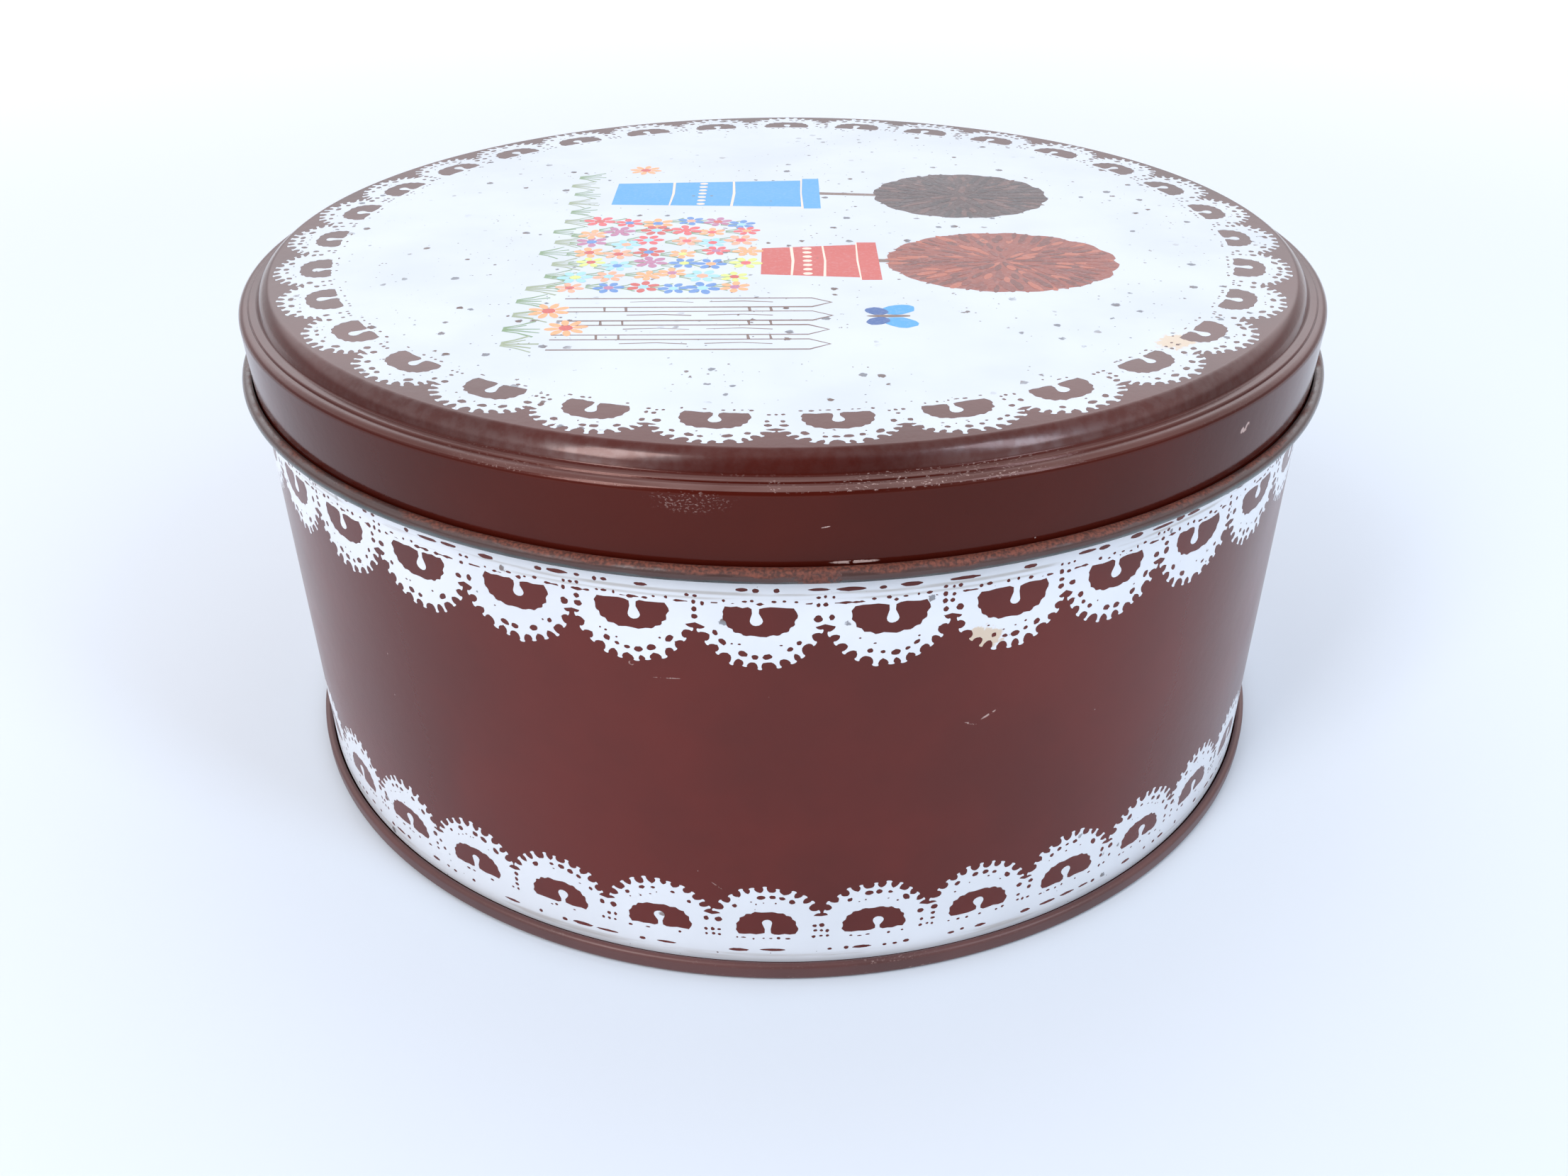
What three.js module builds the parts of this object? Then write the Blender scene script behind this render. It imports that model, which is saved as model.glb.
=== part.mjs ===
// A round tinplate cookie tin: a drawn lid over a rolled body wall with a double-seamed bottom end.
// Millimetres, +Z up. The origin is the centre of the circle that the tin stands on.
import * as THREE from "three";

// Driving dimensions.
const SHEET = 0.3; // tinplate thickness
const SHEET_GAP = 0.3; // clearance between neighbouring sheets
const WALL_R = 102.2; // outer face of the body wall
const LID_R = 105; // outermost point of the lid's curl, which is the tin's widest
const TIN_HEIGHT = 98; // flat top of the lid
const LID_CURL_DIAMETER = 2.4;
const LID_CURL_BOTTOM = 80.1; // lowest point of the closed lid
const RIM_CURL_DIAMETER = 2.2;
const SEAM_R = 104; // outer face of the bottom seam
const SEAM_HEIGHT = 3.3;
const SEGMENTS = 48; // flats round the tin, the same on every piece so that they nest
const CURL_STEPS = 8;
const BEND_STEPS = 2;

// Lid pressing, from the raised panel out to the skirt.
const PANEL_R = 97; // where the flat top starts to round over
const SHOULDER_BEND = 1.6;
const SHOULDER_FALL = 58; // steepest slope of the shoulder, in degrees below level
const LEDGE_TOP = 94.9; // small ledge at the foot of the shoulder
const LEDGE_R = 100.5;
const LEDGE_WIDTH = 0.8;
const CORNER_TOP = 94.5; // second ledge, one small step lower
const CORNER_R = 103.2; // outer face where the skirt begins
const CORNER_BEND = 1;

// Bottom end.
const END_PANEL = 4.5; // height of the middle of the end, at mid-thickness
const END_RING = 3.7; // height of the ring round it, at mid-thickness
const END_STEP_R = 87;
const END_STEP_WIDTH = 2;
const SEAM_BOTTOM_BEND = 0.8;
const BODY_HOOK_TOP = 2.3;
const COVER_HOOK_FOOT = 1.6;

const HALF = SHEET / 2;
const lacquer = { color: 0x4a1c18, roughness: 0.32, metalness: 0.0 };
const innerTin = { color: 0x9a9a94, roughness: 0.35, metalness: 0.9 };

const point = (radius, height) => new THREE.Vector2(radius, height);

// Points on an arc in the plane of radius and height, with angles in degrees from the +radius direction.
function arc(centre, radius, from, to, steps) {
  const points = [];
  for (let i = 0; i <= steps; i += 1) {
    const angle = THREE.MathUtils.degToRad(from + ((to - from) * i) / steps);
    points.push(point(centre.x + radius * Math.cos(angle), centre.y + radius * Math.sin(angle)));
  }
  return points;
}

// The corner offset of a centreline point: along the mean of its two edge normals.
function offsets(line) {
  return line.map((here, i) => {
    const before = line[Math.max(i - 1, 0)];
    const after = line[Math.min(i + 1, line.length - 1)];
    const into = i > 0 ? here.clone().sub(before).normalize() : after.clone().sub(here).normalize();
    const out = i < line.length - 1 ? after.clone().sub(here).normalize() : into;
    const mean = point(-into.y - out.y, into.x + out.x).normalize();
    const spread = mean.dot(point(-into.y, into.x));
    return mean.multiplyScalar(HALF / spread);
  });
}

// The closed outline of a sheet whose middle follows the line.
function sheetOutline(line) {
  const shifts = offsets(line);
  const right = line.map((p, i) => p.clone().sub(shifts[i]));
  const left = line.map((p, i) => p.clone().add(shifts[i]));
  const outline = [...right, ...left.reverse()];
  const startsOnAxis = line[0].x === 0;
  return startsOnAxis ? outline : [...outline, outline[0].clone()];
}

// One spun sheet-metal piece, turned so that its height runs along +Z.
function spun(name, line, finish) {
  const geometry = new THREE.LatheGeometry(sheetOutline(line), SEGMENTS);
  const mesh = new THREE.Mesh(geometry, new THREE.MeshStandardMaterial(finish));
  mesh.name = name;
  mesh.rotation.x = Math.PI / 2;
  return mesh;
}

// The lid: raised flat panel, shoulder, two small ledges, round corner, skirt and outward curl.
function lidLine() {
  const top = TIN_HEIGHT - HALF;
  const ledge = LEDGE_TOP - HALF;
  const corner = CORNER_TOP - HALF;
  const curl = LID_CURL_DIAMETER / 2 - HALF;
  const curlCentre = point(LID_R - LID_CURL_DIAMETER / 2, LID_CURL_BOTTOM + LID_CURL_DIAMETER / 2);
  const skirt = CORNER_R - HALF;
  const ledgeEnd = LEDGE_R + LEDGE_WIDTH;
  return [
    point(0, top),
    ...arc(point(PANEL_R, top - SHOULDER_BEND), SHOULDER_BEND, 90, 90 - SHOULDER_FALL, BEND_STEPS),
    point(LEDGE_R, ledge),
    point(ledgeEnd, ledge),
    point(ledgeEnd + SHEET, corner),
    ...arc(point(skirt - CORNER_BEND, corner - CORNER_BEND), CORNER_BEND, 90, 0, BEND_STEPS),
    ...arc(curlCentre, curl, 180, 480, CURL_STEPS),
  ];
}

// The body wall: inward rim curl at the top, straight cylinder, outward hook in the bottom seam.
function wallLine() {
  const wall = WALL_R - HALF;
  const curl = RIM_CURL_DIAMETER / 2 - HALF;
  const rimTop = CORNER_TOP - SHEET - SHEET_GAP;
  const curlCentre = point(wall - curl, rimTop - RIM_CURL_DIAMETER / 2);
  const hook = SEAM_R - SHEET - SHEET_GAP - HALF;
  const hookBend = (hook - wall) / 2;
  const hookCentre = point(wall + hookBend, SHEET + SHEET_GAP + HALF + hookBend);
  return [
    point(hook, BODY_HOOK_TOP),
    ...arc(hookCentre, hookBend, 0, -180, 2 * BEND_STEPS),
    ...arc(curlCentre, curl, 0, 300, CURL_STEPS),
  ];
}

// The bottom end: stepped panel, wall down inside the body, round the foot and up, then the hook down.
function endLine() {
  const inside = WALL_R - SHEET - SHEET_GAP - HALF;
  const outside = SEAM_R - HALF;
  const bend = SEAM_BOTTOM_BEND;
  const hook = WALL_R + SHEET_GAP + HALF;
  const topBend = (outside - hook) / 2;
  const step = END_STEP_WIDTH / 2;
  return [
    point(0, END_PANEL),
    point(END_STEP_R - step, END_PANEL),
    point(END_STEP_R + step, END_RING),
    ...arc(point(inside - bend, END_RING - bend), bend, 90, 0, BEND_STEPS),
    ...arc(point(inside + bend, HALF + bend), bend, 180, 270, BEND_STEPS),
    ...arc(point(outside - bend, HALF + bend), bend, 270, 360, BEND_STEPS),
    ...arc(point(hook + topBend, SEAM_HEIGHT - HALF - topBend), topBend, 0, 180, 2 * BEND_STEPS),
    point(hook, COVER_HOOK_FOOT),
  ];
}

const tin = new THREE.Group();
tin.add(spun("lid", lidLine(), lacquer));
tin.add(spun("body_wall", wallLine(), lacquer));
tin.add(spun("bottom_end", endLine(), innerTin));

export default tin;
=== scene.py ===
"""The looks of a lacquered tinplate cookie tin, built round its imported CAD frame."""
import math
import random

import bmesh
import bpy
from mathutils import Matrix, Vector
from mathutils.geometry import delaunay_2d_cdt


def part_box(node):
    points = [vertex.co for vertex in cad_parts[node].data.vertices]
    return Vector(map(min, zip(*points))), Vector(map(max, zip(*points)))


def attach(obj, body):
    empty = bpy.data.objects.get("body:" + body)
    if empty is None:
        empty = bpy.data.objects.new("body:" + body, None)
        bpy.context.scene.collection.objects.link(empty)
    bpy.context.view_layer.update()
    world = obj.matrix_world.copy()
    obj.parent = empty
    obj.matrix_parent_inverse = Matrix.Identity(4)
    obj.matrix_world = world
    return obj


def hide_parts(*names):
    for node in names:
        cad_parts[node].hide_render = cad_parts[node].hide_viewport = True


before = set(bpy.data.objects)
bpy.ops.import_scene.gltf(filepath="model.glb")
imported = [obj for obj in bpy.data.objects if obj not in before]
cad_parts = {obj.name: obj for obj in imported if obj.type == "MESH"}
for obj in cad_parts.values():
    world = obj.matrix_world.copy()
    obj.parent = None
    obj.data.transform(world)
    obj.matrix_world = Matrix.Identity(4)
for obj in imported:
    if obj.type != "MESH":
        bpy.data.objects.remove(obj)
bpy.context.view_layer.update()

MM = 0.001

# Sizes taken from the frame. Each box is (lowest corner, highest corner), in metres.
LID_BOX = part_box("lid")
WALL_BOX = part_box("body_wall")
SEAM_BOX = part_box("bottom_end")
SHEET = 0.3 * MM
GAP = 0.3 * MM
LID_R = LID_BOX[1].x
TIN_TOP = LID_BOX[1].z
CURL_BOTTOM = LID_BOX[0].z
WALL_R = WALL_BOX[1].x - 1.2 * MM
RIM_TOP = WALL_BOX[1].z
SEAM_R = SEAM_BOX[1].x

# The lid pressing.
INK_ROOM = 0.06 * MM  # the panel is lowered this much, so that the ink on it stays below the CAD's top
PANEL_TOP = TIN_TOP - INK_ROOM
PANEL_R = 97 * MM
SHOULDER_BEND = 1.2 * MM
SHOULDER_TURN = 60  # where the tight bend gives way to the wide one, in degrees above level
SLOPE_BEND = 4 * MM
SLOPE_FALL = 65  # how steeply the slope ends on the ledge, in degrees
LEDGE_TOP = TIN_TOP - 3.1 * MM
LEDGE_R = 100.5 * MM
LEDGE_WIDTH = 0.75 * MM
LEDGE_FILLET = 0.5 * MM
LEDGE_BEND = 0.2 * MM
CORNER_FILLET = 0.16 * MM  # at the foot of the ledge, above the corner
CORNER_FILLET_OUT = 0.22 * MM
CORNER_TOP = TIN_TOP - 3.5 * MM
CORNER_R = LID_R - 1.8 * MM
CORNER_BEND = 1.1 * MM
CURL_DIAMETER = 2.4 * MM

# The body wall and the bottom seam.
RIM_CURL = 2.2 * MM
SWAGE_Z = CURL_BOTTOM - 3.6 * MM  # a very shallow bead rolled round the wall below the lid
SWAGE_HALF = 1.2 * MM
SWAGE_DEPTH = 0.12 * MM
SEAM_HEIGHT = 3.3 * MM
HOOK_TOP = 2.3 * MM
HOOK_FOOT = 1.6 * MM
FOOT_BEND = 0.8 * MM
END_PANEL = SEAM_BOX[1].z - SHEET / 2
END_RING = END_PANEL - 0.8 * MM
END_STEP_R = 87 * MM
END_STEP_BEND = 1 * MM

TURNS = 288  # flats round a spun piece
SHARP = math.radians(30)  # faces that meet at more than this have a sharp edge
INK = 0.03 * MM  # how far a lace print stands off the wall
BACK = math.pi  # the side seam's direction, measured round from the front

# Where the prints lie.
PRINT_TOP = CURL_BOTTOM + 1.6 * MM  # the wall is unprinted above this, under the lid
UPPER_EYE_Z = 75.0 * MM
LOWER_EYE_Z = 9.3 * MM
LID_EYE_R = 86.2 * MM


# ---------------------------------------------------------------- spun sheet metal

def on_oval(x, y, half_x, half_y, angle):
    """The point of an oval in this direction, in radians."""
    return (x + half_x * math.cos(angle), y + half_y * math.sin(angle))


def arc(centre, radius, start, end, steps):
    """Points (radius, height) round a centre, with angles in degrees from the outward direction."""
    angles = [math.radians(start + (end - start) * i / steps) for i in range(steps + 1)]
    return [on_oval(*centre, radius, radius, angle) for angle in angles]


def offset_sides(line, half):
    """The two faces of a sheet whose middle follows the line: (left, right) point lists."""
    left = []
    right = []
    for i, here in enumerate(line):
        before = line[max(i - 1, 0)]
        after = line[min(i + 1, len(line) - 1)]
        into = Vector(here) - Vector(before) if i else Vector(after) - Vector(here)
        out = Vector(after) - Vector(here) if i < len(line) - 1 else into
        into.normalize()
        out = out.normalized()
        mean = Vector((-into.y - out.y, into.x + out.x)).normalized()
        shift = mean * (half / mean.dot(Vector((-into.y, into.x))))
        left.append((here[0] + shift.x, here[1] + shift.y))
        right.append((here[0] - shift.x, here[1] - shift.y))
    return left, right


def new_object(name, data):
    """An object in the scene, at the origin."""
    made = bpy.data.objects.new(name, data)
    bpy.context.scene.collection.objects.link(made)
    return made


def finish_mesh(name, points, faces, materials, indices=None):
    """Makes a smooth-shaded object. indices gives each face its material."""
    mesh = bpy.data.meshes.new(name)
    mesh.from_pydata(points, [], faces)
    for material in materials:
        mesh.materials.append(material)
    if indices:
        mesh.polygons.foreach_set("material_index", indices)
    mesh.validate()
    solid = bmesh.new()
    solid.from_mesh(mesh)
    bmesh.ops.recalc_face_normals(solid, faces=solid.faces)
    solid.to_mesh(mesh)
    solid.free()
    mesh.shade_smooth()
    mesh.set_sharp_from_angle(angle=SHARP)
    return new_object(name, mesh)


def bridge(low, high):
    """The faces between two rings of points. On the axis a ring is one point, repeated."""
    faces = []
    for k in range(len(low)):
        after = (k + 1) % len(low)
        corners = [low[k], low[after], high[after], high[k]]
        faces.append([c for n, c in enumerate(corners) if c not in corners[:n]])
    return faces


def spin_sheet(name, line, left_material, right_material):
    """Spins a sheet round +Z. The two materials are for the faces left and right of its line."""
    left, right = offset_sides(line, SHEET / 2)
    outline = right + left[::-1]
    count = len(line)
    on_axis = line[0][0] == 0
    points = []
    rings = []
    for radius, height in outline:
        if radius < 1e-9:
            rings.append([len(points)] * TURNS)
            points.append((0, 0, height))
            continue
        rings.append(list(range(len(points), len(points) + TURNS)))
        for k in range(TURNS):
            angle = math.tau * k / TURNS
            points.append((radius * math.cos(angle), radius * math.sin(angle), height))
    faces = []
    indices = []
    steps = len(outline) - 1 if on_axis else len(outline)
    for i in range(steps):
        faces += bridge(rings[i], rings[(i + 1) % len(outline)])
        indices += [1 if i < count else 0] * TURNS
    return finish_mesh(name, points, faces, [left_material, right_material], indices)


def lid_line():
    """Middle of the lid's sheet: panel, shoulder, two ledges, corner, skirt and outward curl."""
    half = SHEET / 2
    top = PANEL_TOP - half
    curl_centre = (LID_R - CURL_DIAMETER / 2, CURL_BOTTOM + CURL_DIAMETER / 2)
    skirt = CORNER_R - half
    ledge = LEDGE_TOP - half
    corner = CORNER_TOP - half
    fall = math.radians(SLOPE_FALL)
    shoulder = arc((PANEL_R, top - SHOULDER_BEND), SHOULDER_BEND, 90, SHOULDER_TURN, 6)
    joint = math.radians(SHOULDER_TURN)
    bend_r, bend_z = shoulder[-1]
    swell = (bend_r - SLOPE_BEND * math.cos(joint), bend_z - SLOPE_BEND * math.sin(joint))
    slope = arc(swell, SLOPE_BEND, SHOULDER_TURN, 90 - SLOPE_FALL, 10)
    slope_r, slope_z = slope[-1]
    slope_foot = ledge + LEDGE_FILLET * (1 - math.cos(fall))
    ledge_start = slope_r + (slope_z - slope_foot) / math.tan(fall) + LEDGE_FILLET * math.sin(fall)
    ledge_end = LEDGE_R + LEDGE_WIDTH
    fillet_centre = (ledge_end + CORNER_FILLET_OUT, corner + CORNER_FILLET)
    return (
        [(0, top), (PANEL_R * 0.5, top)]
        + shoulder
        + slope[1:]
        + arc((ledge_start, ledge + LEDGE_FILLET), LEDGE_FILLET, 270 - SLOPE_FALL, 270, 8)
        + arc((ledge_end - LEDGE_BEND, ledge - LEDGE_BEND), LEDGE_BEND, 90, 35, 4)
        + arc(fillet_centre, CORNER_FILLET, 215, 270, 4)
        + arc((skirt - CORNER_BEND, corner - CORNER_BEND), CORNER_BEND, 88, 0, 14)
        + arc(curl_centre, CURL_DIAMETER / 2 - half, 180, 480, 30)
    )


def swage(z):
    """How far the wall's shallow rolled bead stands in at this height."""
    share = max(0.0, 1 - abs(z - SWAGE_Z) / SWAGE_HALF)
    return SWAGE_DEPTH * (1 - math.cos(math.pi * share)) / 2


def wall_line():
    """Middle of the wall's sheet, from its hook in the seam up to its inward rim curl."""
    wall = WALL_R - SHEET / 2
    hook = SEAM_R - SHEET - GAP - SHEET / 2
    bend = (hook - wall) / 2
    curl = (RIM_CURL - SHEET) / 2
    levels = [SWAGE_Z + SWAGE_HALF * step / 6 for step in range(-6, 7)]
    return (
        [(hook, HOOK_TOP)]
        + arc((wall + bend, SHEET + GAP + SHEET / 2 + bend), bend, 0, -180, 12)
        + [(wall - swage(z), z) for z in levels]
        + arc((wall - curl, RIM_TOP - RIM_CURL / 2), curl, 0, 300, 24)
    )


def end_line():
    """Middle of the bottom end's sheet: stepped panel, inner wall, foot, outer wall and hook."""
    half = SHEET / 2
    inside = WALL_R - SHEET - GAP - half
    outside = SEAM_R - half
    hook = WALL_R + GAP + half
    top_bend = (outside - hook) / 2
    step_top = END_STEP_R - 1.6 * MM
    step_foot = END_STEP_R + 1.2 * MM
    return (
        [(0, END_PANEL), (step_top, END_PANEL)]
        + arc((step_top, END_PANEL - END_STEP_BEND), END_STEP_BEND, 80, 50, 4)
        + arc((step_foot, END_RING + END_STEP_BEND), END_STEP_BEND, 230, 270, 4)
        + arc((inside - FOOT_BEND, END_RING - FOOT_BEND), FOOT_BEND, 90, 0, 8)
        + arc((inside + FOOT_BEND, half + FOOT_BEND), FOOT_BEND, 180, 270, 8)
        + arc((outside - FOOT_BEND, half + FOOT_BEND), FOOT_BEND, 270, 360, 8)
        + arc((hook + top_bend, SEAM_HEIGHT - half - top_bend), top_bend, 0, 180, 12)
        + [(hook, HOOK_FOOT)]
    )


# ---------------------------------------------------------------- printed layers

def on_lid(x, y, lift):
    """A point on the lid's flat panel."""
    return Vector((x, y, PANEL_TOP + lift))


def fill(loops, spare=()):
    """Triangulates the first loop less the others, which are holes, by way of any spare points inside it."""
    points = []
    walls = []
    for loop in loops:
        first = len(points)
        points.extend(Vector(p) for p in loop)
        walls.extend((first + i, first + (i + 1) % len(loop)) for i in range(len(loop)))
    points.extend(Vector(p) for p in spare)
    verts, edges, faces, _, sources, _ = delaunay_2d_cdt(points, walls, [], 1, 1e-9)
    fences = {frozenset(edge) for edge, source in zip(edges, sources) if source}
    beside = {}
    for n, face in enumerate(faces):
        for i in range(3):
            beside.setdefault(frozenset((face[i - 1], face[i])), []).append(n)
    reached = set(beside[frozenset(walls[0])])
    queue = list(reached)
    while queue:
        face = faces[queue.pop()]
        for i in range(3):
            edge = frozenset((face[i - 1], face[i]))
            if edge in fences:
                continue
            for n in beside[edge]:
                if n not in reached:
                    reached.add(n)
                    queue.append(n)
    return [tuple(p) for p in verts], [faces[n] for n in sorted(reached)]


def ink_solid(flat, faces, place, low, high):
    """Both faces and the edge of a thin layer of ink: (points, faces)."""
    used = sorted({c for face in faces for c in face})
    number = {c: n for n, c in enumerate(used)}
    points = [place(*flat[c], high) for c in used] + [place(*flat[c], low) for c in used]
    count = len(used)
    made = [[number[c] for c in face] for face in faces]
    directed = {(face[i - 1], face[i]) for face in made for i in range(3)}
    rims = [(a, b) for a, b in directed if (b, a) not in directed]
    under = [[c + count for c in reversed(face)] for face in made]
    sides = [[b, a, a + count, b + count] for a, b in sorted(rims)]
    return points, made + under + sides


def blob(u, v, half_u, half_v, draw, turn, count, rough):
    """A hand-drawn oval."""
    cosine = math.cos(turn)
    sine = math.sin(turn)
    points = []
    for i in range(count):
        angle = math.tau * i / count
        reach = 1 + draw.uniform(-rough, rough)
        a = half_u * reach * math.cos(angle)
        b = half_v * reach * math.sin(angle)
        points.append((u + a * cosine - b * sine, v + a * sine + b * cosine))
    return points


TEETH = 11  # pegs round one scallop
PEG = 0.31 * MM  # half a peg's width
HOLE_ROOM = 0.16 * MM  # ink left round a hole
PEG_SHAPE = [  # (half widths to the left of its middle, heights out from the scallop's curve)
    (-2.3, -0.1), (-1.45, 0.12), (-1.0, 0.42), (-0.85, 0.7), (-1.12, 0.9), (-0.8, 1.03), (-0.1, 1.06),
    (0.7, 1.03), (1.15, 0.9), (0.85, 0.68), (1.0, 0.4), (1.4, 0.12), (2.3, -0.1),
]


class Lace:
    """A scalloped lace border, flat. u runs along it and v from its straight side out to its points.

    v is 0 on the straight side of each scallop's D-shaped eye. A scallop's outer curve is half an oval
    that starts at lobe_v, and scallops meet at notch. dash_v is where a broken line of bars runs, if there
    is one. middle is the direction of the middle of one scallop, in degrees. Lengths are in metres.
    """

    def __init__(self, seed, scallops, around, middle, lobe_v, lobe_depth, notch, eye_depth, dash_v=None):
        pitch = around / scallops
        self.length = scallops * pitch
        self.phase = math.radians(middle) - math.pi / scallops
        self.lobe_v = lobe_v
        self.lobe_depth = lobe_depth
        self.lobe_half = 0.44 * pitch
        self.notch = notch
        self.eye_half = 0.3 * pitch
        self.eye_depth = eye_depth
        self.dash_v = dash_v
        self.draw = random.Random(seed)
        self.taken = []
        self.holes = []
        self.edge = []
        self.first = math.asin((notch - lobe_v) / lobe_depth)
        self.step = (math.pi - 2 * self.first) / TEETH
        for k in reversed(range(scallops)):
            self.scallop((k + 0.5) * pitch)
            self.edge.append((k * pitch, notch - 0.15 * MM))
            self.cluster(k * pitch)
        if dash_v:
            self.dashes()

    def on_lobe(self, centre, angle, out):
        """A point on the scallop's outer curve, moved out from it."""
        return on_oval(centre, self.lobe_v, self.lobe_half + out, self.lobe_depth + out, angle)

    def hole(self, u, v, half_u, half_v, turn=0.0, count=12, rough=0.12):
        """Adds a small hole where nothing else is in the way."""
        reach = max(half_u, half_v) if turn else 0
        room_u = max(half_u, reach) + HOLE_ROOM
        room_v = max(half_v, reach) + HOLE_ROOM
        for other_u, other_v, other_room_u, other_room_v in self.taken:
            apart = abs((u - other_u + self.length / 2) % self.length - self.length / 2)
            if apart < room_u + other_room_u and abs(v - other_v) < room_v + other_room_v:
                return
        self.taken.append((u, v, room_u, room_v))
        self.holes.append(blob(u, v, half_u, half_v, self.draw, turn, count, rough))

    def scallop(self, centre):
        """One scallop: its edge and its eye, and the holes round and behind the eye."""
        draw = self.draw
        centre += draw.uniform(-0.25, 0.25) * MM
        self.tooth_edge(centre)
        self.eye(centre)
        for k in range(1, TEETH):
            if draw.random() < 0.1:
                continue
            angle = self.first + (k + draw.uniform(-0.12, 0.12)) * self.step
            inset = draw.uniform(1.0, 1.35) * MM
            size = draw.uniform(0.38, 0.82) * MM
            u, v = self.on_lobe(centre, angle, -inset)
            self.hole(u, v, size, min(size * draw.uniform(0.65, 1.0), 0.52 * MM), angle + math.pi / 2)
        for _ in range(8):
            angle = draw.uniform(self.first + 0.2, math.pi - self.first - 0.2)
            u, v = self.on_lobe(centre, angle, -draw.uniform(1.9, 2.7) * MM)
            self.hole(u, v, draw.uniform(0.13, 0.27) * MM, draw.uniform(0.12, 0.2) * MM, count=8)
        for k in range(8):
            u = centre + (k - 3.5 + draw.uniform(-0.3, 0.3)) * 1.5 * MM
            if draw.random() < 0.35:
                continue
            wide = draw.uniform(0.18, 0.5) * MM
            self.hole(u, -draw.uniform(0.85, 1.15) * MM, wide, draw.uniform(0.15, 0.3) * MM)

    def tooth_edge(self, centre):
        """Flared pegs with round bites between them, right to left round the scallop."""
        draw = self.draw
        peg = PEG / self.lobe_half
        for k in range(TEETH):
            middle = self.first + (k + 0.5 + draw.uniform(-0.12, 0.12)) * self.step
            reach = draw.uniform(0.8, 1.35) * MM
            wide = peg * draw.uniform(0.8, 1.35)
            lean = draw.uniform(-0.7, 0.7) * peg
            if k:
                bite = draw.uniform(-0.3, -0.12) * MM
                self.edge.append(self.on_lobe(centre, self.first + k * self.step, bite))
            for across, out in PEG_SHAPE:
                angle = middle + across * wide + lean * out
                self.edge.append(self.on_lobe(centre, angle, out * reach))

    def eye(self, centre):
        """The D-shaped opening, with a round-headed tab standing in it."""
        draw = self.draw
        half = self.eye_half * draw.uniform(0.95, 1.05)
        depth = self.eye_depth * draw.uniform(0.94, 1.04)
        tab = draw.uniform(-0.9, 0.9) * MM
        neck = draw.uniform(0.4, 0.56) * MM
        head = draw.uniform(0.8, 1.0) * MM
        reach = depth * draw.uniform(0.4, 0.52)
        points = []
        for t in (0.12, 0.3, 0.5, 0.7, 0.9):
            u = tab + neck + (half - tab - neck) * t
            points.append((u, draw.uniform(-0.16, 0.14) * MM))
        waves = 36
        for i in range(waves + 1):
            angle = math.pi * (0.03 + 0.94 * i / waves)
            wave = 1 + 0.024 * math.sin(math.tau * i / 4 + tab / MM) * draw.uniform(0.5, 1.5)
            cosine = math.cos(angle)
            u = half * math.copysign(abs(cosine) ** 0.72, cosine) * wave
            points.append((u, depth * math.sin(angle) ** 0.75 * wave))
        for t in (0.9, 0.7, 0.5, 0.3, 0.12):
            u = tab - neck - (half + tab - neck) * t
            points.append((u, draw.uniform(-0.16, 0.14) * MM))
        side = draw.choice((-1, 1))
        points.append((tab - neck, 0.25 * MM))
        points.append((tab - neck * 0.9, reach * 0.45))
        for i in range(9):
            angle = math.radians(-155 - 230 * i / 8)
            bulge = head * (1.15 if (i < 4) == (side < 0) else 0.9)
            points.append((tab + bulge * math.cos(angle), reach + 0.9 * head * math.sin(angle)))
        points.append((tab + neck * 0.9, reach * 0.45))
        points.append((tab + neck, 0.25 * MM))
        self.holes.append([(centre + u, v) for u, v in points])
        self.taken.append((centre, depth / 2, half + 0.25 * MM, depth / 2 + 0.22 * MM))

    def cluster(self, u):
        """Rows of round holes where two scallops join."""
        draw = self.draw
        v = self.notch - 1.15 * MM
        size = 0.92 * MM
        for row in range(4):
            for side in (-1.1, 0, 1.1):
                if draw.random() < 0.12:
                    continue
                shift = draw.uniform(-0.15, 0.15) * MM
                wide = size * draw.uniform(0.45, 0.72)
                self.hole(u + side * MM + shift, v + shift, wide, size * draw.uniform(0.45, 0.7))
            v -= 1.2 * MM
            size *= 0.82

    def dashes(self):
        """A broken line of long bars in the band behind the scallops."""
        draw = self.draw
        u = 2 * MM
        while u < self.length - 8 * MM:
            half = draw.choice((0.4, 0.6, 1.0, 1.5, 2.0)) * draw.uniform(0.8, 1.2) * MM
            v = self.dash_v + draw.uniform(-0.15, 0.15) * MM
            u += half + draw.choice((0.6, 1.0, 2.0, 4.0, 7.0)) * MM
            thick = draw.uniform(0.26, 0.42) * MM
            self.hole(u, v, half, thick, count=18, rough=0.1)
            u += half


def ring_points(lace, radius, out):
    """A lace outline as a closed ring in a flat plane: u goes round it, and v out from the radius."""
    return [on_oval(0, 0, radius + v, radius + v, math.tau * u / lace.length) for u, v in out]


def at_azimuth(angle, radius, z):
    """A point this far round from the front, in radians."""
    return Vector((radius * math.sin(angle), -radius * math.cos(angle), z))


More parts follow.
